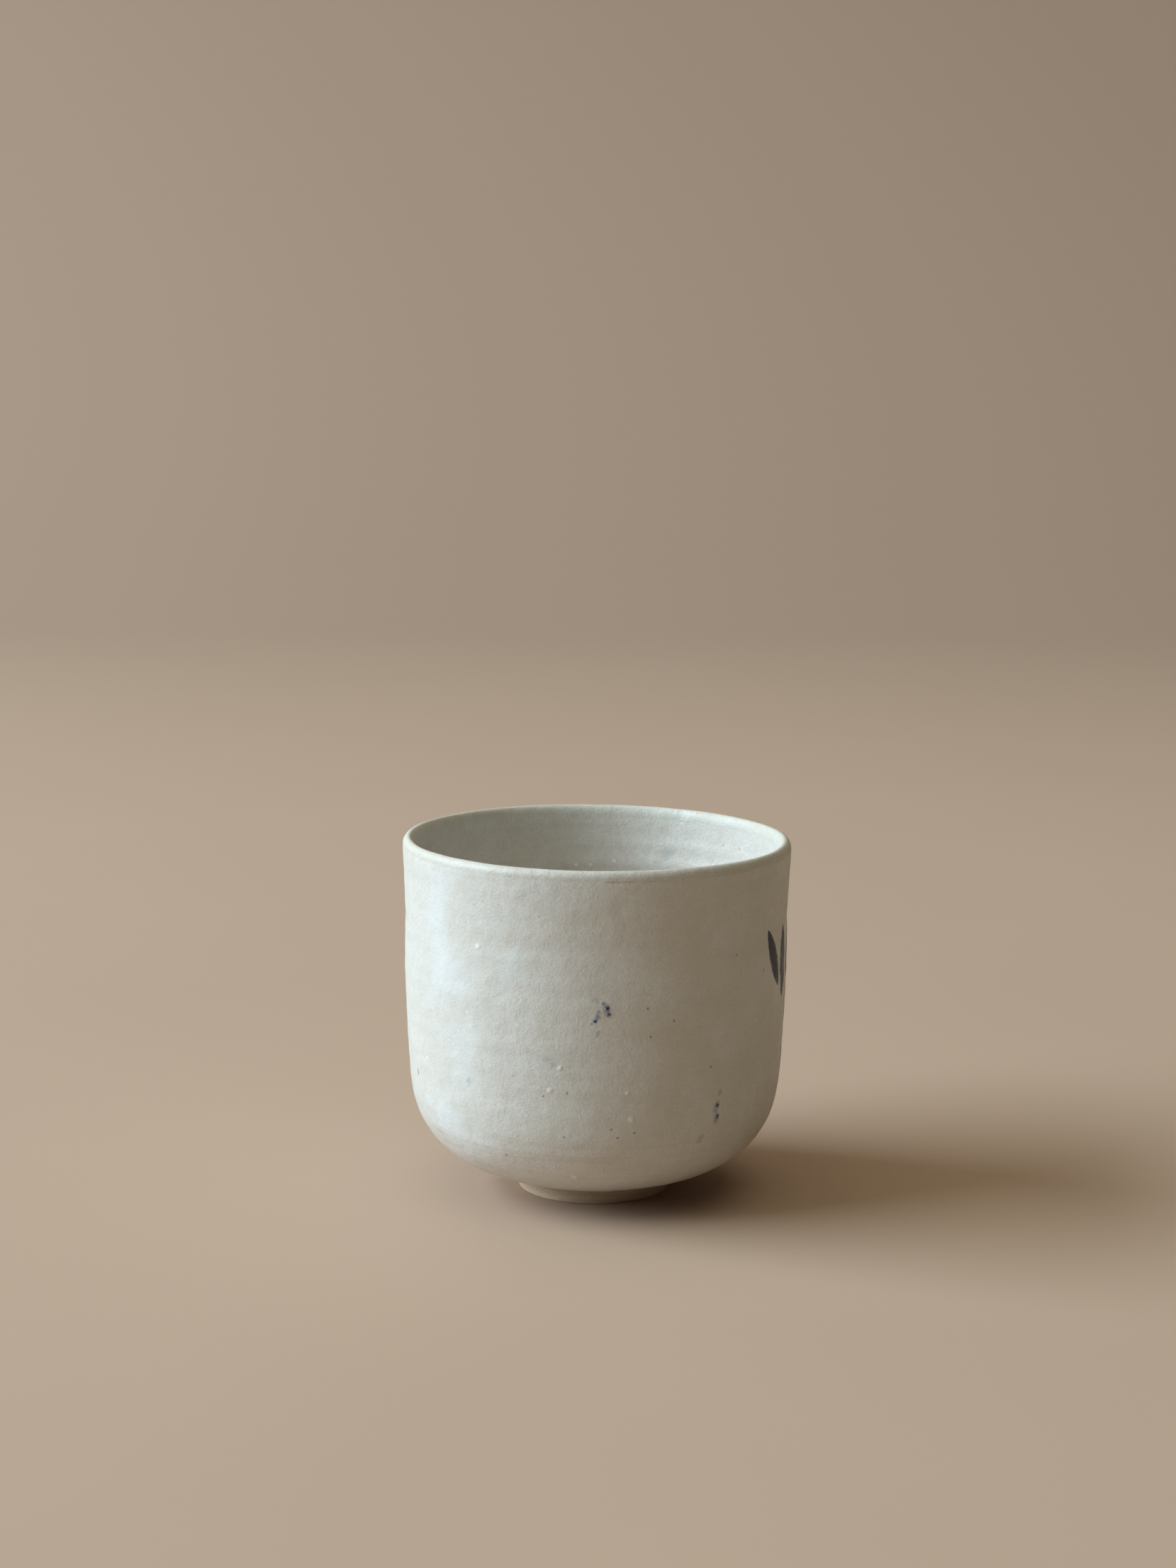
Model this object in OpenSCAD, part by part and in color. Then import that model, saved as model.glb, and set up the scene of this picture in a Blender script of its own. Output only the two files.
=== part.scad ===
// A thrown stoneware tea cup. A clay body stands on a turned foot, and a pale glaze covers
// its outside, its lip and its inside. The glaze carries a few cobalt brush dabs and specks,
// and feldspar grains from the clay stand out of it.
// Millimetres, +Z up. The origin is the centre of the face that the foot rests on.
// Azimuths are degrees from the front of the cup, which faces -Y, towards +X.

/* [Cup] */
// Height from the table to the crest of the lip
cup_h = 77.7; // [62:0.1:95]
// Outer radius at the mouth, the widest place
mouth_r = 42.1; // [34:0.1:52]
// Thickness of the wall at the waist, glaze included
wall_t = 3.1; // [2.2:0.1:4.5]
// Thickness of the floor above the foot, glaze included
floor_t = 5; // [3.5:0.1:8]

/* [Lip] */
// Thickness of the wall where the lip begins, glaze included
lip_t = 2.7; // [1.8:0.1:4]
// Height of the rounding on the outer side of the lip
lip_outer_h = 1.9; // [1:0.1:4]
// Height of the longer bevel on the inner side of the lip
lip_inner_h = 2.6; // [1:0.1:5]

/* [Foot] */
// Outer radius of the foot at the table
foot_r = 16.6; // [13:0.1:21]
// Height of the foot
foot_h = 3.3; // [2:0.1:6]
// Width of the ring that the cup stands on
foot_ring_w = 4; // [2.5:0.1:6]
// How much wider the foot is at its top than at the table
foot_flare = 0.7; // [0:0.1:2]
// Chamfer on both edges of the resting face
foot_edge = 0.4; // [0.1:0.1:0.8]

/* [Glaze] */
// Thickness of the glaze on the outside
outer_glaze_t = 0.4; // [0.2:0.05:0.8]
// Thickness of the glaze over the lip, where it runs thin
lip_glaze_t = 0.25; // [0.1:0.05:0.5]
// Thickness of the glaze on the inside
inner_glaze_t = 0.4; // [0.2:0.05:0.8]
// Width of the bare clay between the foot and the edge of the glaze
bare_clay_w = 1.2; // [0.5:0.1:4]

/* [Cobalt] */
// Length of the longest brush dab
dab_l = 15; // [8:0.5:22]
// Width of the widest brush dab
dab_w = 5; // [2:0.5:8]
// Diameter of the largest cobalt speck
speck_d = 1.5; // [0.6:0.1:3]
// How far the cobalt stands out of the glaze
cobalt_t = 0.12; // [0.05:0.01:0.3]

/* [Grains] */
// Diameter of the largest feldspar grain
grain_d = 1.4; // [0.6:0.1:2.4]
// How far the grains stand out of the glaze
grain_h = 0.3; // [0.1:0.05:0.6]

/* [Hidden] */
$fn = 96;

// Steps along each stretch of the outline
long_steps = 10;
short_steps = 5;

// Stations of the outline, as shares of the span from foot to mouth, across and up
belly_shares = [0.41, 0.041];
shoulder_shares = [0.927, 0.285];
waist_shares = [0.973, 0.762];
// Where the crest lies, as a share of the lip's thickness from its outer side
crest_share = 0.52;
// How far each stretch bows out from its chord, as a share of the chord
under_bow_share = 0.023;
shoulder_bow_share = 0.151;
wall_bow_share = 0.0155;
neck_bow_share = -0.005;

// The group of dabs: the place of its middle, then each dab's place from there along the wall,
// as shares of the widest dab across and of the longest dab up, its size and its lean
dab_group_azimuth = 75;
dab_group_height_share = 0.69;
dab_across_shares = [-1.3, 0, 1.3, 1.1];
dab_rise_shares = [0.07, -0.05, 0.07, -1.57];
dab_size_shares = [0.9, 1, 0.85, 0.4];
dab_leans = [24, -2, -26, 10];

// Places and sizes of the specks and grains: heights follow the cup, sizes the largest of their kind
speck_azimuths = [0.4, 3.3, 0.6, 40, 39, 39.5, -69, 128, 133, -150];
speck_height_shares = [0.609, 0.63, 0.567, 0.373, 0.335, 0.304, 0.366, 0.45, 0.47, 0.6];
speck_size_shares = [0.8, 1, 0.5, 0.5, 0.8, 0.8, 0.4, 0.8, 0.5, 0.6];
grain_azimuths = [11, -10, -13, -36, 9.5, 55, 110, 160, -160, -115, -80, -6.7];
grain_height_shares = [0.326, 0.468, 0.405, 0.776, 0.4, 0.55, 0.3, 0.62, 0.42, 0.7, 0.5, 0.143];
grain_size_shares = [1, 0.7, 0.8, 0.7, 0.6, 0.6, 0.9, 0.7, 0.8, 0.6, 0.9, 0.7];

foot_top_r = foot_r + foot_flare;
foot_inner_r = foot_r - foot_ring_w;
floor_z = foot_h + floor_t;
crest_r = mouth_r - crest_share * lip_t;
inner_lip_r = mouth_r - lip_t;
// Length of a tool that reaches from the axis through the wall
reach = 2 * mouth_r;

function station(shares) = [foot_r + shares.x * (mouth_r - foot_r),
                            foot_h + shares.y * (cup_h - foot_h)];

// Points of a curve from a to b that bows to its right by a share of the chord
function bow(a, b, share, steps) =
    let (d = b - a)
    [for (i = [0:steps]) let (t = i / steps) a + t * d + 4 * t * (1 - t) * share * [d.y, -d.x]];

// Points of an ellipse's arc between two angles
function arc(centre, w, h, from, to, steps) =
    [for (i = [0:steps]) let (a = from + (to - from) * i / steps) centre + [w * cos(a), h * sin(a)]];

// A path without its first point, where it carries on from another path
function carry_on(path) = [for (i = [1:len(path) - 1]) path[i]];

glaze_edge = [foot_top_r + bare_clay_w, foot_h + outer_glaze_t];
belly = station(belly_shares);
shoulder = station(shoulder_shares);
waist = station(waist_shares);
mouth = [mouth_r, cup_h - lip_outer_h];
inner_mouth = [inner_lip_r, cup_h - lip_inner_h];
inner_waist = waist - [wall_t, 0];
inner_shoulder = shoulder - [wall_t, 0];
// The inside turns from wall to floor above the edge of the foot
inner_turn = [foot_r, inner_shoulder.y];

// The outside of the glaze, from its edge near the foot up to the lip
outer_skin = concat(
    bow(glaze_edge, belly, under_bow_share, short_steps),
    carry_on(bow(belly, shoulder, shoulder_bow_share, long_steps)),
    carry_on(bow(shoulder, waist, wall_bow_share, long_steps)),
    carry_on(bow(waist, mouth, neck_bow_share, short_steps)));

// The lip, over its crest
lip_skin = concat(
    carry_on(arc([crest_r, mouth.y], mouth_r - crest_r, lip_outer_h, 0, 90, short_steps)),
    carry_on(arc([crest_r, inner_mouth.y], crest_r - inner_lip_r, lip_inner_h, 90, 180, short_steps)));

// The inside, down the wall and across the floor to the axis
inner_skin = concat(
    carry_on(bow(inner_mouth, inner_waist, -neck_bow_share, short_steps)),
    carry_on(bow(inner_waist, inner_shoulder, -wall_bow_share, long_steps)),
    carry_on(arc(inner_turn, inner_shoulder.x - inner_turn.x, inner_turn.y - floor_z, 0, -90, long_steps)),
    [[0, floor_z]]);

// One line from the glaze's lower edge to the middle of the floor, with the clay on its left
skin = concat(outer_skin, lip_skin, inner_skin);
lip_start = len(outer_skin) - 1;
lip_end = lip_start + len(lip_skin);
skin_end = len(skin) - 1;

// Direction into the clay at a point of the skin
function inward(i) =
    let (d = skin[min(i + 1, skin_end)] - skin[max(i - 1, 0)])
    [-d.y, d.x] / norm(d);

// The skin between two of its points, moved into the clay by a depth
function inset(first, last, depth) = [for (i = [first:last]) skin[i] + depth * inward(i)];

function reverse(path) = [for (i = [len(path) - 1:-1:0]) path[i]];

// Degrees round the cup that a width along its wall takes up
function wall_angle(w) = 180 / PI * w / waist.x;

// A layer that follows the skin between two depths
module layer(first, last, outer_depth, inner_depth)
    rotate_extrude()
        polygon(concat(inset(first, last, outer_depth), reverse(inset(first, last, inner_depth))));

// A child drawn upright in XY, carried through the wall at a place on the cup
module through_wall(azimuth, z)
    rotate([0, 0, azimuth])
        translate([0, 0, z])
            rotate([90, 0, 0])
                linear_extrude(reach)
                    children();

// What is left of the children within a height above the outer glaze
module on_glaze(h)
    intersection() {
        layer(0, lip_start, -h, 0);
        union() children();
    }

// A brush dab, pointed at both ends
module dab(l, w) {
    r = (l * l + w * w) / (4 * w);
    intersection() {
        translate([r - w / 2, 0]) circle(r);
        translate([w / 2 - r, 0]) circle(r);
    }
}

module clay_body()
    color("#b9a78f")
        rotate_extrude()
            polygon(concat(
                [[0, foot_h], [foot_top_r, foot_h]],
                inset(0, lip_start, outer_glaze_t),
                inset(lip_start, lip_end, lip_glaze_t),
                inset(lip_end, skin_end, inner_glaze_t)));

module foot_ring()
    color("#a8957d")
        rotate_extrude()
            polygon([
                [foot_inner_r + foot_edge, 0],
                [foot_r - foot_edge, 0],
                [foot_r, foot_edge],
                [foot_top_r, foot_h],
                [foot_inner_r, foot_h],
                [foot_inner_r, foot_edge]]);

module outer_glaze() color("#dcdad0") layer(0, lip_start, 0, outer_glaze_t);

module lip_glaze() color("#d8cfbb") layer(lip_start, lip_end, 0, lip_glaze_t);

module inner_glaze() color("#d6d9d4") layer(lip_end, skin_end, 0, inner_glaze_t);

module brush_dabs()
    color("#2f3a4d")
        on_glaze(cobalt_t)
            for (i = [0:len(dab_leans) - 1])
                through_wall(dab_group_azimuth + wall_angle(dab_w * dab_across_shares[i]),
                             dab_group_height_share * cup_h + dab_l * dab_rise_shares[i])
                    rotate(dab_leans[i])
                        dab(dab_l * dab_size_shares[i], dab_w * dab_size_shares[i]);

module cobalt_specks()
    color("#33405a")
        on_glaze(cobalt_t)
            for (i = [0:len(speck_azimuths) - 1])
                through_wall(speck_azimuths[i], speck_height_shares[i] * cup_h)
                    circle(d = speck_d * speck_size_shares[i]);

module feldspar_grains()
    color("#efece2")
        on_glaze(grain_h)
            for (i = [0:len(grain_azimuths) - 1])
                through_wall(grain_azimuths[i], grain_height_shares[i] * cup_h)
                    circle(d = grain_d * grain_size_shares[i]);

clay_body();
foot_ring();
outer_glaze();
lip_glaze();
inner_glaze();
brush_dabs();
cobalt_specks();
feldspar_grains();
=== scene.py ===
# %% [markdown]
# # A thrown tea cup
# This lesson dresses a small stoneware cup. Its sizes come from a CAD model, which is loaded first
# as a fixed frame. Each piece made here takes the place of one CAD node: the clay, the foot,
# three coats of glaze, the cobalt marks and the grains that stand out of the glaze.

# %% Load the frame
import math
import random

import bpy
from mathutils import Color, Matrix, Vector


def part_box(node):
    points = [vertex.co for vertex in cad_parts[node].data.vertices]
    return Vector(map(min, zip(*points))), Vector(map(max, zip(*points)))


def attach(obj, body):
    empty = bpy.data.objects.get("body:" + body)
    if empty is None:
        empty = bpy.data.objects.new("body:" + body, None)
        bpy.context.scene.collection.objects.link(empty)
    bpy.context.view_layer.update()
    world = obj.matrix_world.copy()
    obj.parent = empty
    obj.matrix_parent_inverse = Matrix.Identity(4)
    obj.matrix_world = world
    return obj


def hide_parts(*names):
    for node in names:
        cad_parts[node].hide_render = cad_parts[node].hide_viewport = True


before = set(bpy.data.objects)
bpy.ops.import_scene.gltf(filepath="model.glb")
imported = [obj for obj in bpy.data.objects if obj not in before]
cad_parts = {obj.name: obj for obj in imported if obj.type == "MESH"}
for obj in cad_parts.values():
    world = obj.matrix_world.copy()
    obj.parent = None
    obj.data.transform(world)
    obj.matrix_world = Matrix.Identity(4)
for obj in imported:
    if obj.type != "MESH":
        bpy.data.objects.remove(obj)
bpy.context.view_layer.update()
mm = 0.001

# %% [markdown]
# ## The view
# The cup was photographed from a little above, a long arm's length away. The camera's place and
# tilt were worked out from the ellipses of the lip and the foot. A long lens keeps the sides
# nearly parallel. The sensor's long side is the picture's height, as the picture stands upright.

# %% Camera
photo_height_px = 2212
focal_px = 4153
sensor = 36
eye = Vector((0, -628.1, 190.4)) * mm
eye_down = math.radians(9.169)
eye_left = math.radians(0.181)
eye_roll = math.radians(0.45)

lens = bpy.data.cameras.new("eye")
lens.sensor_width = sensor
lens.lens = sensor * focal_px / photo_height_px
lens.clip_start = 10 * mm
camera = bpy.data.objects.new("eye", lens)
bpy.context.scene.collection.objects.link(camera)
turn = Matrix.Rotation(eye_left, 4, "Z") @ Matrix.Rotation(math.pi / 2 - eye_down, 4, "X")
camera.matrix_world = Matrix.Translation(eye) @ turn @ Matrix.Rotation(eye_roll, 4, "Z")
bpy.context.scene.camera = camera
print("lens, mm:", round(lens.lens, 1))

# %% [markdown]
# ## Sizes from the frame
# The boxes of the CAD nodes give the mouth, the crest of the lip, the foot and the edges of the
# glaze. A box can't give an inner radius, so a helper measures how near to the axis a node comes.
# Thicknesses are hidden inside, so they are set to those that the CAD model was drawn with.

# %% Driving sizes
def nearest_radius(node):
    """The least distance of a CAD node from the cup's axis."""
    return min(math.hypot(v.co.x, v.co.y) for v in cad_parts[node].data.vertices)


outer_low, outer_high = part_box("outer_glaze")
lip_low, lip_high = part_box("lip_glaze")
inner_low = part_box("inner_glaze")[0]
foot_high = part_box("foot_ring")[1]
mouth = Vector((outer_high.x, outer_high.z))
crest_z = lip_high.z
inner_mouth = Vector((nearest_radius("lip_glaze"), lip_low.z))
glaze_edge = Vector((nearest_radius("outer_glaze"), outer_low.z))
foot_top_r = foot_high.x
foot_inner_r = nearest_radius("foot_ring")
foot_h = foot_high.z
outer_glaze_t = 0.4 * mm
lip_glaze_t = 0.25 * mm
inner_glaze_t = 0.4 * mm
wall_t = 3.1 * mm
foot_flare = 0.7 * mm
foot_r = foot_top_r - foot_flare
floor_z = inner_low.z + inner_glaze_t
print("mouth, mm:", [round(v / mm, 2) for v in mouth], "floor:", round(floor_z / mm, 2))

# %% [markdown]
# ## The outline
# A thrown cup is the same all the way round, so one line beside the axis describes it. The line
# runs up the outside, over the lip and down the inside to the middle of the floor. Its stretches
# bow a little between a few stations. A real wall has no kinks where they meet, so the points are
# spread evenly and each one is then drawn towards its neighbours a few times.

# %% Curves of the outline
line_step = 0.8 * mm
fine_step = 0.25 * mm


def bow(a, b, share, steps=24):
    """Points from a to b on a curve that bows to its right by a share of the chord."""
    d = b - a
    side = Vector((d.y, -d.x))
    parts = [i / steps for i in range(steps + 1)]
    return [a + d * t + side * (4 * t * (1 - t) * share) for t in parts]


def arc(centre, width, height, start, stop, steps=24):
    """Points of an ellipse's arc between two angles in degrees."""
    angles = [math.radians(start + (stop - start) * i / steps) for i in range(steps + 1)]
    return [centre + Vector((width * math.cos(a), height * math.sin(a))) for a in angles]


def join(*stretches):
    """One line of several stretches, each starting where the last one ends."""
    return stretches[0] + [point for stretch in stretches[1:] for point in stretch[1:]]


def lengths_along(line):
    """How far along the line each of its points is."""
    lengths = [0]
    for a, b in zip(line, line[1:]):
        lengths.append(lengths[-1] + (b - a).length)
    return lengths


def even(line, step):
    """The same line with its points a step apart."""
    lengths = lengths_along(line)
    count = max(2, round(lengths[-1] / step))
    points, i = [], 0
    for k in range(count + 1):
        want = lengths[-1] * k / count
        while i < len(line) - 2 and lengths[i + 1] < want:
            i += 1
        part = (want - lengths[i]) / (lengths[i + 1] - lengths[i])
        points.append(line[i].lerp(line[i + 1], part))
    return points


def soften(line, passes):
    """The line with its kinks eased. Its ends stay."""
    for _ in range(passes):
        eased = [(a + 2 * b + c) / 4 for a, b, c in zip(line, line[1:], line[2:])]
        line = [line[0]] + eased + [line[-1]]
    return line


def heading(line, i):
    """The direction of the line at one of its points."""
    return (line[min(i + 1, len(line) - 1)] - line[max(i - 1, 0)]).normalized()


# %% The skin's outline
under_bow = 0.023
shoulder_bow = 0.151
wall_bow = 0.0155
neck_bow = -0.005
crest_share = 0.52
lip_steps = 12
wall_passes = 8
lip_passes = 2
span_low = Vector((foot_r, foot_h))
span = Vector((mouth.x, crest_z)) - span_low


def station(across, up):
    """A place given by shares of the span from the foot to the lip."""
    return span_low + Vector((across * span.x, up * span.y))


belly = station(0.41, 0.041)
shoulder = station(0.927, 0.285)
waist = station(0.973, 0.762)
wall_in = Vector((wall_t, 0))
crest_r = mouth.x - crest_share * (mouth.x - inner_mouth.x)
lip_out = Vector((crest_r, mouth.y))
lip_in = Vector((crest_r, inner_mouth.y))
turn_centre = Vector((foot_r, shoulder.y))

outer_line = join(
    bow(glaze_edge, belly, under_bow),
    bow(belly, shoulder, shoulder_bow),
    bow(shoulder, waist, wall_bow),
    bow(waist, mouth, neck_bow),
)
lip_line = join(
    arc(lip_out, mouth.x - crest_r, crest_z - mouth.y, 0, 90, lip_steps),
    arc(lip_in, crest_r - inner_mouth.x, crest_z - inner_mouth.y, 90, 180, lip_steps),
)
inner_line = join(
    bow(inner_mouth, waist - wall_in, -neck_bow),
    bow(waist - wall_in, shoulder - wall_in, -wall_bow),
    arc(turn_centre, shoulder.x - wall_t - foot_r, shoulder.y - floor_z, 0, -90),
    bow(Vector((foot_r, floor_z)), Vector((0, floor_z)), 0),
)
outer_line = soften(even(outer_line, line_step), wall_passes)
lip_line = soften(lip_line, lip_passes)
inner_line = soften(even(inner_line, line_step), wall_passes)
print("points of the outline:", len(outer_line), len(lip_line), len(inner_line))

# %% [markdown]
# ## Throwing rings
# Fingers leave shallow rings in the clay as the wheel turns. They are faint outside, where a rib
# smoothed the wall, and deeper inside. Two waves of different lengths, added along the line, keep
# the rings from looking like a screw thread. The lip was pressed round with a strip of leather,
# which left a fine groove under it.

# %% Add the rings and the groove to the outline
outer_ring_depth = 0.035 * mm
inner_ring_depth = 0.13 * mm
ring_pitch = 4.7 * mm
ring_beat = 7.9 * mm
ring_share = 0.6
ring_fade = 5 * mm
groove_z = mouth.y - 0.1 * mm
groove_half = 0.5 * mm
groove_depth = 0.05 * mm
neck_h = 4 * mm


def ringed(line, depth):
    """The line with shallow rings. They fade out towards both ends."""
    lengths = lengths_along(line)
    moved = []
    for i, (point, run) in enumerate(zip(line, lengths)):
        along = heading(line, i)
        wave = ring_share * math.sin(math.tau * run / ring_pitch)
        wave += (1 - ring_share) * math.sin(math.tau * run / ring_beat)
        fade = min(1, run / ring_fade, (lengths[-1] - run) / ring_fade)
        moved.append(point + Vector((along.y, -along.x)) * (wave * fade * depth))
    return moved


def grooved(line):
    """The line with the groove under the lip, where it runs up the outside."""
    deep = [groove_depth * math.exp(-((p.y - groove_z) / groove_half) ** 2) for p in line]
    return [p - Vector((d, 0)) if p.x > crest_r else p for p, d in zip(line, deep)]


outer_line = ringed(outer_line, outer_ring_depth)
neck = [point for point in outer_line if point.y > mouth.y - neck_h]
outer_line = outer_line[:-len(neck)] + even(neck, fine_step)
outer_line = grooved(outer_line)
lip_line = grooved(lip_line)
inner_line = ringed(inner_line, inner_ring_depth)
skin_line = join(outer_line, lip_line, inner_line)
print("points of the skin:", len(skin_line))

# %% [markdown]
# ## Turning a line into a surface
# Blender's spin tool works as a wheel does. A plane is merged to one point, the point is drawn out
# along the line, and the line is spun round the axis. The seam is merged, and so are the points on
# the axis. Spin can leave faces pointing inwards, so the normals are recalculated.

# %% The wheel
wheel_sides = 192
weld = mm / 1000


def deselect():
    """Clears the selection, because operators act on all that is selected."""
    bpy.ops.object.select_all(action="DESELECT")


def choose(piece):
    """Makes a piece the only one that operators act on."""
    deselect()
    piece.select_set(True)
    bpy.context.view_layer.objects.active = piece


def pick(piece, kind, wanted):
    """Opens a piece in edit mode with the points or faces that are wanted selected."""
    choose(piece)
    bpy.ops.object.mode_set(mode="EDIT")
    bpy.ops.mesh.select_mode(type=kind)
    bpy.ops.mesh.select_all(action="DESELECT")
    bpy.ops.object.mode_set(mode="OBJECT")
    for part in piece.data.vertices if kind == "VERT" else piece.data.polygons:
        part.select = wanted(part)
    bpy.ops.object.mode_set(mode="EDIT")


def turned(name, line):
    """The surface that a line beside the axis makes when it is spun round once."""
    deselect()
    bpy.ops.mesh.primitive_plane_add(size=mm)
    piece = bpy.context.object
    piece.name = name
    bpy.ops.object.mode_set(mode="EDIT")
    bpy.ops.mesh.select_mode(type="VERT")
    bpy.ops.mesh.merge(type="CENTER")
    bpy.ops.transform.translate(value=(line[0].x, 0, line[0].y))
    for a, b in zip(line, line[1:]):
        move = (b.x - a.x, 0, b.y - a.y)
        bpy.ops.mesh.extrude_region_move(TRANSFORM_OT_translate={"value": move})
    bpy.ops.mesh.select_all(action="SELECT")
    bpy.ops.mesh.spin(steps=wheel_sides, angle=math.tau, center=(0, 0, 0), axis=(0, 0, 1))
    bpy.ops.mesh.select_all(action="SELECT")
    bpy.ops.mesh.remove_doubles(threshold=weld)
    bpy.ops.mesh.normals_make_consistent(inside=False)
    bpy.ops.object.mode_set(mode="OBJECT")
    print(name, len(piece.data.vertices), "points", len(piece.data.polygons), "faces")
    return piece


def finish_with(piece, kind, **settings):
    """Adds a modifier with its settings and applies it."""
    choose(piece)
    modifier = piece.modifiers.new(kind.lower(), kind)
    for key, value in settings.items():
        setattr(modifier, key, value)
    bpy.ops.object.modifier_apply(modifier=modifier.name)


def smooth(piece, degrees=40):
    """Shades a piece smooth, apart from the edges sharper than an angle."""
    choose(piece)
    bpy.ops.object.shade_smooth_by_angle(angle=math.radians(degrees))


skin = turned("skin", skin_line)

# %% [markdown]
# ## Which coat goes where
# Three coats of glaze will be cut from the skin: outside, lip and inside. The faces are sorted now,
# while the cup is still true, so that the edges of the coats run evenly round it.

# %% Sort the faces of the skin
lip_slack = 0.2


def side_of(face):
    """Which coat a face of the skin belongs to."""
    r = math.hypot(face.center.x, face.center.y)
    share = (mouth.x - r) / (mouth.x - inner_mouth.x)
    lip_foot = mouth.y + share * (inner_mouth.y - mouth.y)
    if face.center.z > lip_foot and -lip_slack <= share <= 1 + lip_slack:
        return "lip_glaze"
    radial = Vector((face.center.x, face.center.y, 0)).normalized()
    return "outer_glaze" if face.normal.dot(radial) > face.normal.z else "inner_glaze"


coat_of_face = [side_of(face) for face in skin.data.polygons]
print({name: coat_of_face.count(name) for name in sorted(set(coat_of_face))})

# %% [markdown]
# ## The hand in it
# No thrown cup is quite true. The lip of this one is a little higher on one side, and the wall
# wanders by a tenth of a millimetre or two. The lip is tipped with proportional editing, which
# fades the turn out down the wall. Two soft noise textures then push the wall in and out.

# %% Tip the lip and let the wall wander
lip_tip = math.radians(-0.28)
tip_reach = 34 * mm
wander_size = 26 * mm
wander_depth = 0.45 * mm
press_size = 7 * mm
press_depth = 0.12 * mm
lip_side = 40 * mm


def cloud(name, size, depth=1):
    """A soft noise texture for a Displace modifier."""
    texture = bpy.data.textures.new(name, "CLOUDS")
    texture.noise_basis = "IMPROVED_PERLIN"
    texture.noise_scale = size
    texture.noise_depth = depth
    return texture


def push(piece, texture, depth):
    """Pushes the face of a piece in and out by a texture."""
    finish_with(piece, "DISPLACE", texture=texture, strength=depth, texture_coords="LOCAL")


pick(skin, "VERT", lambda v: v.co.z > inner_mouth.y)
bpy.ops.transform.rotate(
    value=lip_tip,
    orient_axis="Y",
    center_override=(0, 0, crest_z),
    use_proportional_edit=True,
    proportional_edit_falloff="SMOOTH",
    proportional_size=tip_reach,
)
bpy.ops.object.mode_set(mode="OBJECT")
push(skin, cloud("wander", wander_size), wander_depth)
push(skin, cloud("press", press_size), press_depth)
left_lip = max(v.co.z for v in skin.data.vertices if v.co.x < -lip_side)
right_lip = max(v.co.z for v in skin.data.vertices if v.co.x > lip_side)
print("lip, mm: left", round(left_lip / mm, 2), "right", round(right_lip / mm, 2))

# %% [markdown]
# ## Three coats of glaze
# The skin is the face of the glaze. It is one surface so far, so the coats meet without a step.
# It is now copied three times, and each copy keeps the faces of one coat.
# Solidify then thickens each coat into the clay, which closes its edges.

# %% Cut the skin into coats
def cut_coat(name, thickness):
    """The part of the skin that one coat covers, as a closed shell."""
    choose(skin)
    bpy.ops.object.duplicate()
    piece = bpy.context.object
    piece.name = name + "_coat"
    pick(piece, "FACE", lambda face: coat_of_face[face.index] != name)
    bpy.ops.mesh.delete(type="FACE")
    bpy.ops.object.mode_set(mode="OBJECT")
    finish_with(piece, "SOLIDIFY", thickness=thickness, offset=-1, use_even_offset=True)
    smooth(piece)
    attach(piece, "root")
    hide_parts(name)
    print(piece.name, len(piece.data.polygons), "faces")
    return piece


outer_coat = cut_coat("outer_glaze", outer_glaze_t)
lip_coat = cut_coat("lip_glaze", lip_glaze_t)
inner_coat = cut_coat("inner_glaze", inner_glaze_t)

# %% [markdown]
# ## The clay
# The clay fills the space between the coats. It shows only underneath, as a bare band round the
# foot and in the recess of the foot. It is turned on the same wheel, a hair inside the glaze.

# %% Turn the clay body
clay_gap = 0.15 * mm


def inset(line, depth):
    """The line moved to its left, which is into the clay."""
    moved = []
    for i, point in enumerate(line):
        along = heading(line, i)
        moved.append(point + Vector((-along.y, along.x)) * depth)
    return moved


clay_line = even([Vector((0, foot_h)), Vector((foot_top_r, foot_h))], line_step)
clay_line += inset(outer_line, outer_glaze_t + clay_gap)
clay_line += inset(lip_line, lip_glaze_t + clay_gap)
clay_line += inset(inner_line, inner_glaze_t + clay_gap)
clay_line[-1].x = 0
clay = turned("clay", clay_line)
smooth(clay)
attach(clay, "root")
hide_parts("clay_body")

# %% [markdown]
# ## The foot
# The foot was cut with a turning tool when the clay was leather hard. Its wall is sandy, and its
# edges are worn round. The outline is a closed loop. Noise roughens the clay, and the face that it
# stands on is then pressed flat again.

# %% Turn the foot
foot_round = 0.35 * mm
foot_step = 0.3 * mm
foot_round_steps = 6
foot_rough = 0.05 * mm
sand_size = 0.9 * mm
sand_depth = 3
rest_in = Vector((foot_inner_r + foot_round, 0))
rest_out = Vector((foot_r - foot_round, 0))
foot_line = join(
    even([Vector((foot_inner_r, foot_h)), Vector((foot_inner_r, foot_round))], foot_step),
    arc(Vector((rest_in.x, foot_round)), foot_round, foot_round, 180, 270, foot_round_steps),
    even([rest_in, rest_out], foot_step),
    arc(Vector((rest_out.x, foot_round)), foot_round, foot_round, 270, 360, foot_round_steps),
    even([Vector((foot_r, foot_round)), Vector((foot_top_r, foot_h))], foot_step),
    even([Vector((foot_top_r, foot_h)), Vector((foot_inner_r, foot_h))], foot_step),
)
foot = turned("foot", foot_line)
push(foot, cloud("sand", sand_size, sand_depth), foot_rough)
pick(foot, "VERT", lambda v: v.co.z < 0)
bpy.ops.transform.resize(value=(1, 1, 0), center_override=(0, 0, 0))
bpy.ops.object.mode_set(mode="OBJECT")
smooth(foot, degrees=60)
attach(foot, "root")
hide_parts("foot_ring")

# %% [markdown]
# ## Where the marks are
# The CAD nodes of the marks hold several small solids each. A copy of such a node is merged and
# separated into loose parts, the places of the parts are noted, and the copies are deleted.
# A mark then stands on the glaze that carries it, square to the wall.

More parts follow.
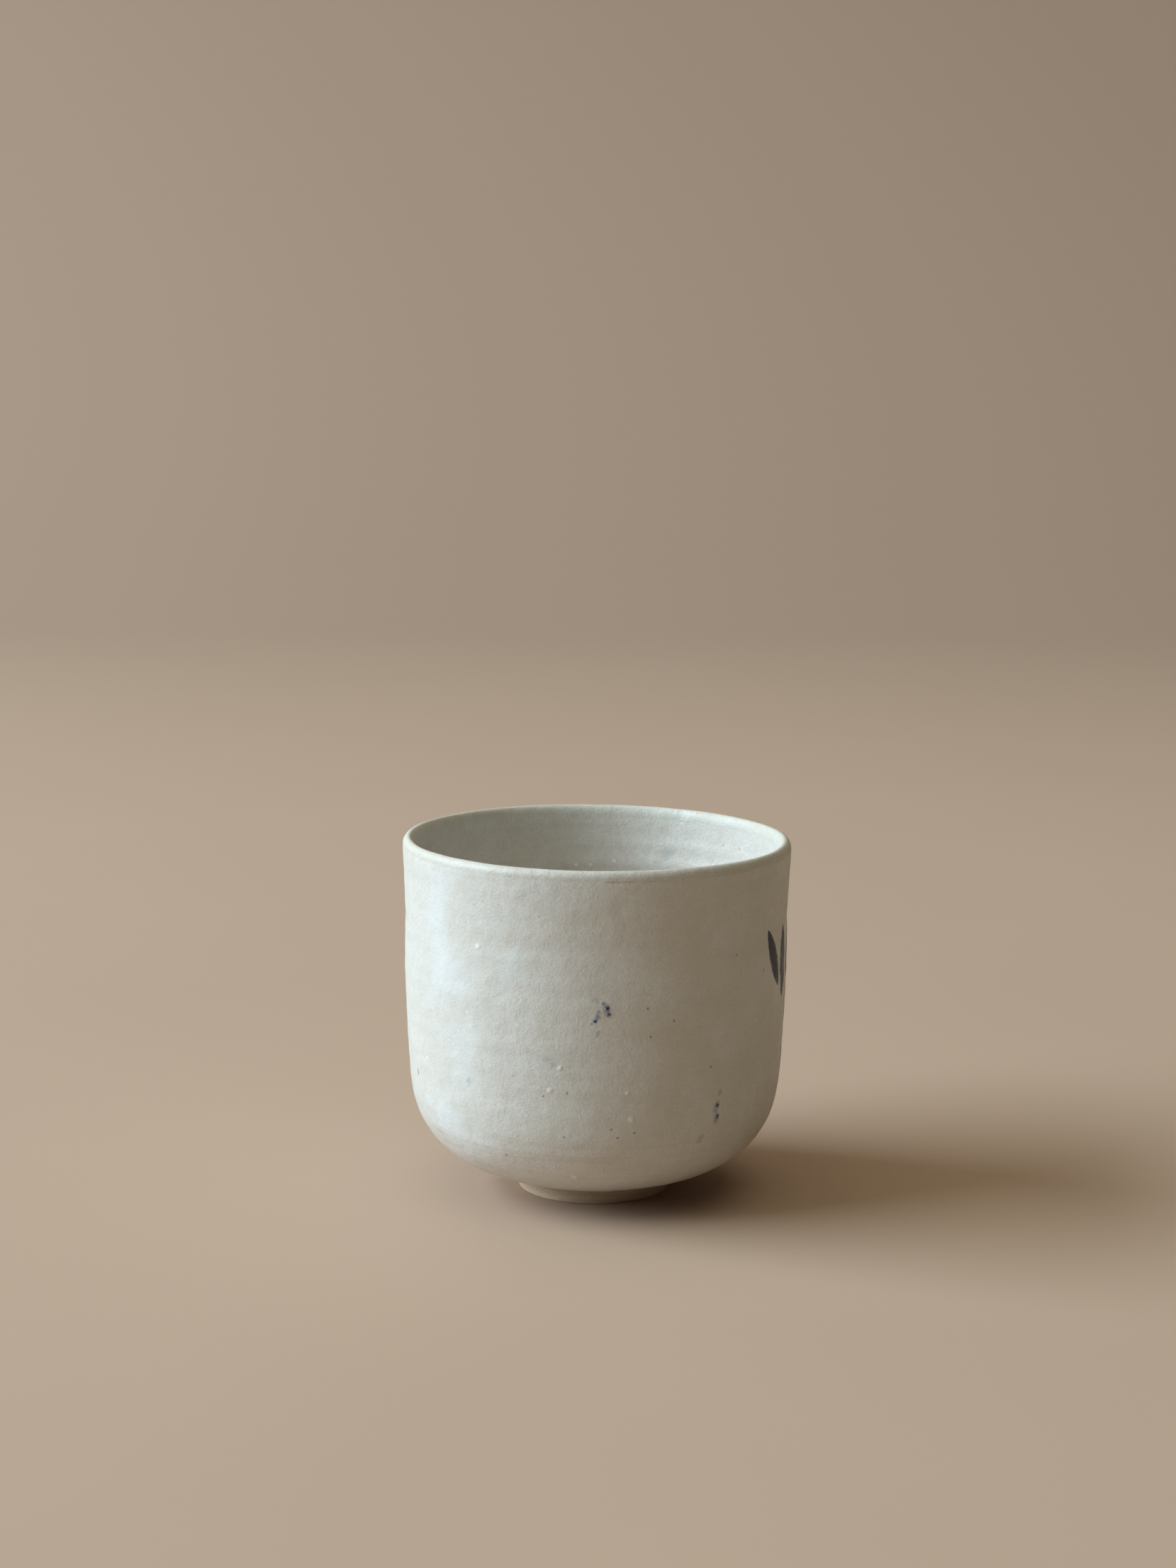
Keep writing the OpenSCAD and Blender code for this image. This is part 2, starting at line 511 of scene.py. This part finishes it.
# %% Find the marks
def middle(points):
    """The middle of a set of points."""
    return sum(points, Vector()) / len(points)


def solids_of(node):
    """The points of each separate solid of a CAD node, from left to right."""
    tracing = bpy.data.objects.new("tracing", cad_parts[node].data.copy())
    bpy.context.scene.collection.objects.link(tracing)
    choose(tracing)
    bpy.ops.object.mode_set(mode="EDIT")
    bpy.ops.mesh.select_all(action="SELECT")
    bpy.ops.mesh.remove_doubles(threshold=weld)
    bpy.ops.mesh.separate(type="LOOSE")
    bpy.ops.object.mode_set(mode="OBJECT")
    parts = [[v.co.copy() for v in part.data.vertices] for part in bpy.context.selected_objects]
    bpy.ops.object.delete()
    parts.sort(key=lambda points: middle(points).x)
    return parts


def stand(point, up=Vector((0, 0, 1)), on=outer_coat):
    """A frame on the glaze nearest a point: Z out of the wall and Y as near to up as can be."""
    _, place, normal, _ = on.closest_point_on_mesh(point)
    across = up.cross(normal).normalized()
    turn = Matrix((across, normal.cross(across), normal)).transposed()
    return Matrix.Translation(place) @ turn.to_4x4()


def width_of(points):
    """The greatest distance of a point from the middle, twice."""
    centre = middle(points)
    return 2 * max((p - centre).length for p in points)


def copies(model, name, places, loads):
    """Copies of a model joined to one piece. Each has its place and three loads of colour."""
    made = []
    for place, load in zip(places, loads):
        copy = bpy.data.objects.new(name, model.data.copy())
        copy.data.transform(place)
        full = copy.data.attributes.new("load", "FLOAT_VECTOR", "POINT")
        full.data.foreach_set("vector", load * len(copy.data.vertices))
        bpy.context.scene.collection.objects.link(copy)
        copy.vertex_groups.new(name="swell")
        made.append(copy)
    deselect()
    for copy in made:
        copy.select_set(True)
    bpy.context.view_layer.objects.active = made[0]
    bpy.ops.object.join()
    bpy.data.objects.remove(model)
    made[0].name = name
    return made[0]


# %% [markdown]
# ## How the marks lie
# A mark isn't a sticker. It is melted into the glaze and lifts it a little. So each one is a patch
# that Shrinkwrap lays just under the face of the glaze, and Displace then swells its middle out of
# it, by weights that fall to nothing at the rim. Solidify closes the patch. Its finish is the
# glaze's own with a colour added, and the colour has faded out where the patch meets the glaze.

# %% Lay patches on the glaze
patch_sink = 0.02 * mm
patch_t = 0.12 * mm
disc_sides = 24
disc_cuts = 5


def weigh(piece, swell):
    """Paints the weights by which a patch swells."""
    group = piece.vertex_groups.new(name="swell")
    for vertex in piece.data.vertices:
        group.add([vertex.index], max(0, swell(vertex)), "REPLACE")


def disc():
    """A round patch with a radius of 1. Its UV map has the middle at a half."""
    deselect()
    bpy.ops.mesh.primitive_circle_add(vertices=disc_sides, radius=1, fill_type="TRIFAN")
    piece = bpy.context.object
    bpy.ops.object.mode_set(mode="EDIT")
    bpy.ops.mesh.subdivide(number_cuts=disc_cuts)
    bpy.ops.object.mode_set(mode="OBJECT")
    weigh(piece, lambda v: 0.5 + 0.5 * math.cos(math.pi * min(1, v.co.length)))
    return piece


def lay(patches, node, height):
    """Lays patches into the outer glaze and lets them swell out of it."""
    finish_with(
        patches, "SHRINKWRAP", target=outer_coat, wrap_method="NEAREST_SURFACEPOINT",
        wrap_mode="ABOVE_SURFACE", offset=-patch_sink,
    )
    finish_with(
        patches, "DISPLACE", vertex_group="swell", strength=height + patch_sink, mid_level=0
    )
    finish_with(patches, "SOLIDIFY", thickness=patch_t, offset=-1)
    smooth(patches)
    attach(patches, "root")
    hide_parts(node)
    print(patches.name, len(patches.data.polygons), "faces")


# %% [markdown]
# ## Feldspar grains
# White grains in the clay push the glaze up into small hills. Each is a copy of one disc, with its
# own size, turn and stretch.

# %% Grains
chance = random.Random(5)
grain_spread = 0.9
grain_stretch = (0.8, 1.1)
grain_h = 0.11 * mm
full_load = (1, 1, 1)
grain_places = []
for points in solids_of("feldspar_grains"):
    wide = grain_spread * width_of(points)
    spin = Matrix.Rotation(chance.uniform(0, math.tau), 4, "Z")
    size = Matrix.Diagonal((wide * chance.uniform(*grain_stretch), wide, 1, 1))
    grain_places.append(stand(middle(points)) @ spin @ size)
grains = copies(disc(), "grains", grain_places, [full_load] * len(grain_places))
lay(grains, "feldspar_grains", grain_h)

# %% [markdown]
# ## Cobalt specks
# Cobalt spat from the brush in drops. A drop is taller than wide, leans a little, and has a wash
# round its thick cores: one above the middle, one below it and a tail at the top. Some drops lack
# some cores, and those that were mostly water lack all of them. The leans, in degrees to the left,
# and the loads of the cores are in the order of the drops from left to right.

# %% Specks
speck_spread = 2.3
speck_h = 0.05 * mm
speck_shape = 0.56
speck_leans = [5, 15, -28, -20, 18, -20, -8, -20, 20, -12]
speck_loads = [
    (1, 1, 1), (0.8, 0, 0.3), (0, 0.9, 0.4), (0, 0, 0), (1, 0.9, 0.5),
    (1, 0, 0), (0.9, 0, 0), (0.3, 0, 0), (0, 0, 0), (1, 0.6, 0),
]
speck_places = []
for points, lean in zip(solids_of("cobalt_specks"), speck_leans):
    drop = width_of(points)
    spin = Matrix.Rotation(math.radians(lean), 4, "Z")
    size = Matrix.Diagonal((speck_spread * drop * speck_shape, speck_spread * drop, 1, 1))
    speck_places.append(stand(middle(points)) @ spin @ size)
    print("speck, mm:", round(drop / mm, 2), "lean", lean)
specks = copies(disc(), "specks", speck_places, speck_loads)
lay(specks, "cobalt_specks", speck_h)

# %% [markdown]
# ## Brush dabs
# A loaded brush pressed down and lifted leaves a leaf: narrow, wide, narrow. A grid is the start,
# and each of its rows is squeezed to the width that the leaf has there. The tips of the CAD solid
# give each dab's length and lean. The patch is a little larger, so that the colour ends inside it.

# %% Dabs
dab_rows = 40
dab_columns = 12
dab_h = 0.06 * mm
dab_margin = 1.12
dab_tip = 0.06
dab_fullness = 0.9
dab_flatness = 6
deselect()
bpy.ops.mesh.primitive_grid_add(x_subdivisions=dab_columns, y_subdivisions=dab_rows, size=2)
leaf = bpy.context.object
weigh(leaf, lambda v: (1 - v.co.x ** 2) * (1 - v.co.y ** dab_flatness))
for row in range(dab_rows + 1):
    height = 2 * row / dab_rows - 1
    squeeze = max(dab_tip, (1 - height * height) ** dab_fullness)
    pick(leaf, "VERT", lambda v: abs(v.co.y - height) < 0.5 / dab_rows)
    bpy.ops.transform.resize(value=(squeeze, 1, 1), center_override=(0, height, 0))
    bpy.ops.object.mode_set(mode="OBJECT")
dab_places = []
for points in solids_of("brush_dabs"):
    low = min(points, key=lambda p: p.z)
    high = max(points, key=lambda p: p.z)
    along = (high - low).normalized()
    centre = low.lerp(high, 0.5)
    wide = max((p - low - (p - low).dot(along) * along).length for p in points)
    size = Matrix.Diagonal((dab_margin * wide, dab_margin * (high - low).length / 2, 1, 1))
    dab_places.append(stand(centre, along) @ size)
dabs = copies(leaf, "dabs", dab_places, [full_load] * len(dab_places))
lay(dabs, "brush_dabs", dab_h)
bpy.data.objects.remove(skin)

# %% [markdown]
# ## Writing finishes
# A finish is a tree of shader nodes. Written as Python expressions it stays readable: a small class
# wraps a socket, and arithmetic on it adds Math nodes. Its node method adds any other node.

# %% A socket with arithmetic
class Wire:
    """An output socket of a finish."""

    def __init__(self, tree, socket):
        self.tree = tree
        self.socket = socket

    def node(self, kind, settings=None, output=None, **values):
        """Adds a node, sets it, links or sets its inputs, and returns its output."""
        node = self.tree.nodes.new(kind)
        for key, value in (settings or {}).items():
            setattr(node, key, value)
        for key, value in values.items():
            plug(self.tree, node, key, value)
        shown = [s for s in node.outputs if s.enabled and output in (None, s.name)]
        return Wire(self.tree, shown[0])

    def math(self, operation, a, b):
        """A Math node on two values."""
        return self.node("ShaderNodeMath", {"operation": operation}, Value=a, Value_001=b)

    def __add__(self, other):
        return self.math("ADD", self, other)

    def __sub__(self, other):
        return self.math("SUBTRACT", self, other)

    def __rsub__(self, other):
        return self.math("SUBTRACT", other, self)

    def __mul__(self, other):
        return self.math("MULTIPLY", self, other)

    def __abs__(self):
        return self.node("ShaderNodeMath", {"operation": "ABSOLUTE"}, Value=self)

    __radd__ = __add__


def plug(tree, node, key, value):
    """Links a wire to a node's input, or sets its value."""
    name = key.replace("_", " ")
    socket = next(s for s in node.inputs if s.enabled and (s.identifier == key or s.name == name))
    if isinstance(value, Wire):
        tree.links.new(value.socket, socket)
    else:
        socket.default_value = value


def paint(red, green, blue):
    """A colour from its screen values, 0 to 255."""
    return (*Color((red / 255, green / 255, blue / 255)).from_srgb_to_scene_linear(), 1)


def new_finish(name, **constants):
    """A material with its shader's constants set, and the wire of its Object coordinates."""
    material = bpy.data.materials.new(name)
    material.use_nodes = True
    shader = material.node_tree.nodes["Principled BSDF"]
    for key, value in constants.items():
        plug(material.node_tree, shader, key, value)
    place = material.node_tree.nodes.new("ShaderNodeTexCoord").outputs["Object"]
    return material, shader, Wire(material.node_tree, place)


def connect(material, shader, **wires):
    """Links wires to the shader's inputs."""
    for key, wire in wires.items():
        plug(material.node_tree, shader, key, wire)


def wear(piece, material):
    """Gives a piece its finish."""
    piece.data.materials.clear()
    piece.data.materials.append(material)


# %% Shared patterns
spot_core = 0.4
draw_edge = 0.02


def vector_math(operation, vector, **values):
    """A Vector Math node on a vector."""
    return vector.node("ShaderNodeVectorMath", {"operation": operation}, Vector=vector, **values)


def axis_of(vector, axis):
    """The X, Y or Z of a vector."""
    return vector.node("ShaderNodeSeparateXYZ", None, axis, Vector=vector)


def noise(place, size, detail=2, roughness=0.5):
    """Soft noise with features of a size, from 0 to 1."""
    return place.node(
        "ShaderNodeTexNoise", Vector=place, Scale=1 / size, Detail=detail, Roughness=roughness
    )


def stretched(place, up):
    """Coordinates that flatten a pattern to bands round the cup, as the wheel does."""
    return place.node("ShaderNodeMapping", Vector=place, Scale=(1, 1, up))


def ease(value, low, high, start=0, stop=1):
    """A soft step: start below low, stop above high."""
    return value.node(
        "ShaderNodeMapRange", {"interpolation_type": "SMOOTHSTEP"},
        Value=value, From_Min=low, From_Max=high, To_Min=start, To_Max=stop,
    )


def blend(a, b, share):
    """A colour between two, by a share."""
    return share.node("ShaderNodeMix", {"data_type": "RGBA"}, Factor=share, A=a, B=b)


def tinted(colour, tint, pattern, share):
    """A colour with a share of a tint where a pattern is 1."""
    return blend(colour, tint, pattern * share)


def spots(place, cell, size, few):
    """Scattered round spots, one in a few of the cells. They fade at their edges."""
    cells = {"Vector": place, "Scale": 1 / cell}
    near = place.node("ShaderNodeTexVoronoi", None, "Distance", **cells)
    draw = place.node("ShaderNodeTexVoronoi", None, "Color", **cells)
    drawn = draw.node("ShaderNodeSeparateColor", None, "Red", Color=draw)
    fade = ease(near, spot_core * size / cell, size / cell, 1, 0)
    return fade * ease(drawn, few, few + draw_edge, 1, 0)


def relief(place, height, depth):
    """A normal bent by a height from 0 to 1 that stands for a depth."""
    return place.node("ShaderNodeBump", Strength=1.0, Distance=depth, Height=height)


# %% [markdown]
# ## The glaze
# The glaze is an off-white satin with the skin of an eggshell. It is milky and a little blue where
# it lies thick, and warm where it is thin, in patches and in faint bands left by the wheel. The
# thick patches are the glossier ones. Iron in the clay comes through as tiny brown specks, and a
# trace of cobalt as pale stains. There are a few pinholes and pale bumps too, and some of these
# marks lie inside. On the lit left of the outside, pale blue patches of painted highlight stand for
# the window's reflection. The larger marks and these patches have their places: an azimuth in
# degrees from the front and a height in mm. Small specks are scattered.

# %% Marks in the glaze
iron_spots = [
    (5, 23), (7, 21), (12, 22), (-9, 21), (-29, 13), (-8, 31), (-15, 30), (16, 43), (23, 46),
    (15, 49), (-1, 46), (36, 35), (45, 58), (59, 53),
]
pin_holes = [(-37, 69), (-34, 70), (-13, 64), (-16, 68), (-54, 62)]
# Painted highlight: places of the pale blue patches that stand for the window's reflection on the
# lit left.
reflection_patches = [
    (-51, 72), (-51, 58), (-51, 52), (-41, 53), (-24, 57), (-42, 40), (-41, 31), (-54, 65),
    (-50, 24), (-58, 21), (-50, 17), (-40, 16),
]
cobalt_stains = [(35, 19), (34, 18), (-40, 31), (-12, 37), (-14, 38), (0, 51)]
pale_bumps = [(-61, 33), (-40, 46), (-39, 43), (-23, 45)]
inner_stains = [(155, 68), (156, 67)]
inner_spots = [(133, 71), (125, 71)]
inner_bumps = [(-173, 64), (-178, 64), (174, 65)]


def on_wall(azimuth, height, coat):
    """The point on the face of a coat at an azimuth from the front and a height in mm."""
    turn = math.radians(azimuth)
    start_r = mouth.x if coat == outer_coat else waist.x - wall_t
    start = Vector((math.sin(turn) * start_r, -math.cos(turn) * start_r, height * mm))
    return stand(start, on=coat).translation


def ragged(place, size, depth):
    """Coordinates shaken by noise, so that a round spot gets a ragged edge."""
    shake = place.node("ShaderNodeTexNoise", None, "Color", Vector=place, Scale=1 / size, Detail=2)
    centred = vector_math("SUBTRACT", shake, Vector_001=(0.5, 0.5, 0.5))
    moved = vector_math("SCALE", centred, Scale=depth)
    return vector_math("ADD", place, Vector_001=moved)


def marked(place, centres, core, rim, coat=outer_coat):
    """How much of a mark there is at a place: 1 within the core, 0 outside the rim."""
    total = 0
    for azimuth, height in centres:
        off = vector_math("DISTANCE", place, Vector_001=on_wall(azimuth, height, coat))
        total = total + ease(off, core, rim, 1, 0)
    return total


# %% Glaze
iron = paint(88, 76, 63)
# The tint of the painted window reflection.
reflection_tint = paint(233, 240, 242)
cobalt_trace = paint(158, 166, 172)
bump_white = paint(245, 244, 240)
turned_clay = paint(196, 180, 160)
# The tint of the painted shade in the groove under the lip.
groove_shade_tint = paint(170, 152, 130)
glaze_depth = 0.13 * mm
gloss_swing = 0.06


def glaze_finish(name, body, milky, warm, streak, roughness):
    """A satin glaze with milky patches, wheel bands and an eggshell skin, and its colour."""
    material, shader, place = new_finish(name)
    thick = ease(noise(place, 9 * mm, 1), 0.4, 0.75)
    bands = ease(noise(stretched(place, 14), 40 * mm, 3), 0.42, 0.75)
    clouds = ease(noise(place, 16 * mm), 0.45, 0.75)
    mottle = ease(noise(place, 2.4 * mm), 0.42, 0.68)
    grit = ease(noise(place, 0.45 * mm), 0.46, 0.64)
    flecks = spots(place, cell=5 * mm, size=0.4 * mm, few=0.06)
    colour = tinted(body, warm, bands, share=streak)
    colour = tinted(colour, warm, clouds, share=0.3)
    colour = tinted(colour, milky, thick, share=0.35)
    colour = tinted(colour, warm, mottle, share=0.25)
    colour = tinted(colour, warm, grit, share=0.5)
    colour = tinted(colour, iron, flecks, share=0.5)
    egg = noise(place, 0.5 * mm)
    lumps = noise(place, 2.2 * mm)
    swells = noise(place, 6 * mm, 1)
    normal = relief(place, egg * 0.5 + lumps * 0.9 + swells * 1.6, glaze_depth)
    gloss = ease(thick, 0, 1, roughness + gloss_swing, roughness - gloss_swing)
    connect(material, shader, Base_Color=colour, Roughness=gloss, Normal=normal)
    return material, shader, place, colour


def outer_finish(name):
    """The glaze outside: its marks, turning lines, painted window reflections, and painted shade
    and specks in the groove.
    """
    material, shader, place, colour = glaze_finish(
        name, body=paint(221, 219, 212), milky=paint(229, 232, 233), warm=paint(209, 202, 190),
        streak=0.3, roughness=0.42,
    )
    side = axis_of(place, "X")
    height = axis_of(place, "Z")
    # Painted highlight: pale blue patches where the window's reflection falls on the lit left side.
    painted_reflection = marked(ragged(place, 4 * mm, 7 * mm), reflection_patches, core=0, rim=8 * mm)
    colour = tinted(colour, reflection_tint, ease(painted_reflection, 0, 1.6), share=0.48)
    low_wall = ease(height, 9 * mm, 12 * mm) * ease(height, 16 * mm, 24 * mm, 1, 0)
    turning = ease(noise(stretched(place, 30), 26 * mm), 0.5, 0.66)
    colour = tinted(colour, turned_clay, turning * low_wall, share=0.22)
    stain = marked(ragged(place, mm, 1.6 * mm), cobalt_stains, core=0.2 * mm, rim=1.2 * mm)
    colour = tinted(colour, cobalt_trace, stain, share=0.38)
    spot = marked(ragged(place, 0.5 * mm, 0.3 * mm), iron_spots, core=0.08 * mm, rim=0.42 * mm)
    colour = tinted(colour, iron, spot, share=0.6)
    pin = marked(place, pin_holes, core=0.05 * mm, rim=0.35 * mm)
    colour = tinted(colour, iron, pin, share=0.3)
    bump = marked(place, pale_bumps, core=0.1 * mm, rim=0.5 * mm)
    colour = tinted(colour, bump_white, bump, share=0.7)
    # Painted shade: the groove under the lip is tinted darker, broken by noise, and fades out on
    # the lit left. The iron specks along it fade out with it.
    groove = ease(abs(height - groove_z), 0.1 * mm, groove_half, 1, 0)
    groove = groove * ease(side, -14 * mm, 4 * mm)
    painted_groove_shade = groove * ease(noise(place, 4 * mm), 0.35, 0.6)
    colour = tinted(colour, groove_shade_tint, painted_groove_shade, share=0.4)
    groove_spots = groove * spots(place, cell=2.2 * mm, size=0.5 * mm, few=0.55)
    colour = tinted(colour, iron, groove_spots, share=0.7)
    connect(material, shader, Base_Color=colour)
    return material, shader, place, colour


def lip_finish(name):
    """The glaze over the lip, where it runs thin."""
    return glaze_finish(
        name, body=paint(215, 212, 203), milky=paint(223, 223, 219), warm=paint(201, 192, 177),
        streak=0.4, roughness=0.46,
    )[0]


def inner_finish(name):
    """The glaze inside, with a trace of cobalt, two iron spots and a few pale bumps."""
    material, shader, place, colour = glaze_finish(
        name, body=paint(218, 212, 203), milky=paint(227, 227, 224), warm=paint(201, 191, 179),
        streak=0.6, roughness=0.44,
    )
    shaken = ragged(place, 2 * mm, 2 * mm)
    stain = marked(shaken, inner_stains, core=0, rim=2.6 * mm, coat=inner_coat)
    colour = tinted(colour, cobalt_trace, stain, share=0.22)
    spot = marked(place, inner_spots, core=0.1 * mm, rim=0.5 * mm, coat=inner_coat)
    colour = tinted(colour, iron, spot, share=0.35)
    bump = marked(place, inner_bumps, core=0.1 * mm, rim=0.6 * mm, coat=inner_coat)
    colour = tinted(colour, bump_white, bump, share=0.7)
    connect(material, shader, Base_Color=colour)
    return material


wear(outer_coat, outer_finish("satin_outside")[0])
wear(lip_coat, lip_finish("satin_lip"))
wear(inner_coat, inner_finish("satin_inside"))

# %% [markdown]
# ## The bare clay
# Fired stoneware is matt and sandy: grains of a few tints, with a tooth that the light catches.

# %% Clay
clay_depth = 0.11 * mm
dark_sand = paint(150, 128, 104)


def clay_finish(name, tint, dark, pale):
    """Bare stoneware with sand in it."""
    material, shader, place = new_finish(name, Roughness=0.9, Specular_IOR_Level=0.25)
    sand = noise(place, 0.3 * mm, detail=3, roughness=0.6)
    bands = noise(stretched(place, 10), 9 * mm)
    pale_grains = spots(place, cell=0.9 * mm, size=0.25 * mm, few=0.3)
    dark_grains = spots(place, cell=0.7 * mm, size=0.2 * mm, few=0.25)
    colour = blend(dark, tint, ease(sand * 0.5 + bands * 0.5, 0.3, 0.65))
    colour = tinted(colour, pale, pale_grains, share=0.5)
    colour = tinted(colour, dark_sand, dark_grains, share=0.5)
    connect(material, shader, Base_Color=colour, Normal=relief(place, sand, clay_depth))
    return material


bare_clay = clay_finish(
    "sandy_clay", tint=paint(228, 206, 180), dark=paint(206, 182, 155), pale=paint(238, 222, 201)
)
wear(clay, bare_clay)
wear(foot, bare_clay)

# %% [markdown]
# ## Feldspar and cobalt
# The finish of a mark starts from the glaze that it lies in, at the same place, so that it blends
# in. A grain is white at its top. Cobalt is blue-black where it lies thick, and a wash of grey blue
# round that. The UV map says how far a place is from the middle or the edge of its mark.

# %% Grain and cobalt finishes
cobalt_wash = paint(140, 150, 170)
cobalt_thick = paint(32, 39, 62)
grain_white = paint(246, 245, 241)
bristles = (9, 1.4, 1)
core_places = [(0.56, 0.55), (0.53, 0.36), (0.46, 0.72)]
core_radii = [0.14, 0.12, 0.13]


def from_middle(uv, centre=(0.5, 0.5)):
    """The distance from a point of a disc's UV map: from the middle, 1 at the rim."""
    return vector_math("DISTANCE", uv, Vector_001=(*centre, 0)) * 2


def mark_finish(name, colouring):
    """The outer glaze with the colour of a mark added."""
    material, shader, place, colour = outer_finish(name)
    uv = place.node("ShaderNodeTexCoord", None, "UV")
    connect(material, shader, Base_Color=colouring(place, uv, colour))
    return material


def grain_colour(place, uv, glaze):
    """White feldspar at the top of a hill."""
    off = from_middle(uv) + (noise(place, 0.6 * mm) - 0.5) * 0.4
    return blend(glaze, grain_white, ease(off, 0, 0.45, 0.6, 0) + ease(off, 0.2, 0.8, 0.3, 0))


def speck_colour(place, uv, glaze):
    """A drop of cobalt: a ragged wash, and cores that are as dark as their loads."""
    load = place.node("ShaderNodeAttribute", {"attribute_name": "load"}, "Vector")
    full = vector_math("LENGTH", load)
    wash = ease(from_middle(uv), 0.12, 0.62, 1, 0)
    wash = wash * ease(noise(place, 0.9 * mm), 0.32, 0.6, 0.35, 1)
    colour = blend(glaze, cobalt_wash, wash * ease(full, 0, 0.9, 0.5, 1))
    flat = uv.node("ShaderNodeMapping", Vector=uv, Scale=(speck_shape, 1, 1))
    grit = (noise(place, 0.5 * mm) - 0.5) * 0.3
    for axis, (u, v), radius in zip("XYZ", core_places, core_radii):
        off = from_middle(flat, (u * speck_shape, v)) + grit
        core = ease(off, 0.3 * radius, 1.5 * radius, 1, 0)
        colour = blend(colour, cobalt_thick, core * axis_of(load, axis))
    return colour


def dab_colour(place, uv, glaze):
    """A brush dab: thick, with streaks of the bristles and a ragged pale edge."""
    across = axis_of(uv, "X")
    along = axis_of(uv, "Y")
    streaks = noise(uv.node("ShaderNodeMapping", Vector=uv, Scale=bristles), 1, 3)
    ends = ease(1 - abs(along * 2 - 1), 0.02, 0.12)
    edge = 1 - abs(across * 2 - 1) + (noise(place, 0.9 * mm, 3) - 0.5) * 0.5
    colour = blend(glaze, cobalt_wash, ease(edge, 0.08, 0.24) * ends)
    thick = ease(edge, 0.16, 0.4) * ends * ease(streaks, 0.2, 0.5, 0.75, 1)
    return blend(colour, cobalt_thick, thick)


wear(grains, mark_finish("feldspar", grain_colour))
wear(specks, mark_finish("cobalt_specks", speck_colour))
wear(dabs, mark_finish("cobalt_dabs", dab_colour))

# %% [markdown]
# ## Paper and light
# The cup stands on a sheet of warm paper that sweeps up behind it. The plane of the floor is drawn
# up along a quarter circle, and the paper is painted darker towards the back as painted shade,
# where the light falls off. A large cool window stands on the left, and a weak warm light comes
# down from the ceiling. The paper gives some of both back.
# The room itself is nearly dark. Past the edge of the paper the camera sees a wall in the tone of
# the paper, which gives no light.

# %% Paper sweep
sweep_half = 1.9
sweep_front = -2.4
sweep_back = 1.1
sweep_r = 0.7
sweep_top = 1.6
sweep_steps = 24
back_shade_start = 0.35
back_shade_stop = 1.4
fibre_size = 120 * mm
paper_tint = paint(188, 162, 142)
fibre_tint = paint(192, 166, 146)
# The tint of the painted shade at the back of the paper.
back_shade_tint = paint(173, 149, 131)
deselect()
bpy.ops.mesh.primitive_plane_add(size=2)
paper = bpy.context.object
paper.name = "paper"
bpy.ops.object.mode_set(mode="EDIT")
bpy.ops.transform.resize(value=(sweep_half, (sweep_back - sweep_front) / 2, 1))
bpy.ops.transform.translate(value=(0, (sweep_back + sweep_front) / 2, 0))
bpy.ops.object.mode_set(mode="OBJECT")
pick(paper, "VERT", lambda v: v.co.y > sweep_back - mm)
rise = arc(Vector((sweep_back, sweep_r)), sweep_r, sweep_r, -90, 0, sweep_steps)
rise.append(rise[-1] + Vector((0, sweep_top)))
for a, b in zip(rise, rise[1:]):
    bpy.ops.mesh.extrude_region_move(TRANSFORM_OT_translate={"value": (0, b.x - a.x, b.y - a.y)})
bpy.ops.object.mode_set(mode="OBJECT")
smooth(paper, degrees=30)
paper_finish, paper_shader, paper_place = new_finish(
    "warm_paper", Roughness=0.85, Specular_IOR_Level=0.2
)
tone = blend(paper_tint, fibre_tint, noise(paper_place, fibre_size))
# Painted shade: the paper darkens towards the back, standing in for the light falling off there.
tone = blend(tone, back_shade_tint, ease(axis_of(paper_place, "Y"), back_shade_start, back_shade_stop))
connect(paper_finish, paper_shader, Base_Color=tone)
wear(paper, paper_finish)
print("paper:", len(paper.data.polygons), "faces")

# %% Window, ceiling and room
cup_middle = (0, 0, 40 * mm)
room_tint = paint(180, 172, 158)
room_strength = 0.09
wall_tint = paint(165, 146, 129)
wall_strength = 1


def lamp(name, place, target, width, height, power, tint):
    """A soft rectangular light that faces a target."""
    light = bpy.data.lights.new(name, "AREA")
    light.shape = "RECTANGLE"
    light.size = width
    light.size_y = height
    light.energy = power
    light.color = tint
    holder = bpy.data.objects.new(name, light)
    bpy.context.scene.collection.objects.link(holder)
    holder.location = place
    holder.visible_camera = False
    holder.rotation_euler = (Vector(target) - Vector(place)).to_track_quat("-Z", "Y").to_euler()
    print(name, "power:", power)


lamp(
    "window", place=(-3.15, -0.38, 1.85), target=(0.3, -0.85, 0), width=3.3, height=2.2,
    power=234, tint=(0.72, 0.885, 1.0),
)
lamp(
    "ceiling", place=(0, -0.2, 2.4), target=cup_middle, width=3.0, height=3.0,
    power=23, tint=(1.0, 0.94, 0.68),
)
room = bpy.data.worlds.new("room")
bpy.context.scene.world = room
room.use_nodes = True
nodes, links = room.node_tree.nodes, room.node_tree.links
dark_room = nodes["Background"]
dark_room.inputs["Color"].default_value = room_tint
dark_room.inputs["Strength"].default_value = room_strength
far_wall = nodes.new("ShaderNodeBackground")
far_wall.inputs["Color"].default_value = wall_tint
far_wall.inputs["Strength"].default_value = wall_strength
seen = nodes.new("ShaderNodeLightPath")
either = nodes.new("ShaderNodeMixShader")
links.new(seen.outputs["Is Camera Ray"], either.inputs[0])
links.new(dark_room.outputs[0], either.inputs[1])
links.new(far_wall.outputs[0], either.inputs[2])
links.new(either.outputs[0], nodes["World Output"].inputs["Surface"])
bpy.context.scene.view_settings.view_transform = "Standard"
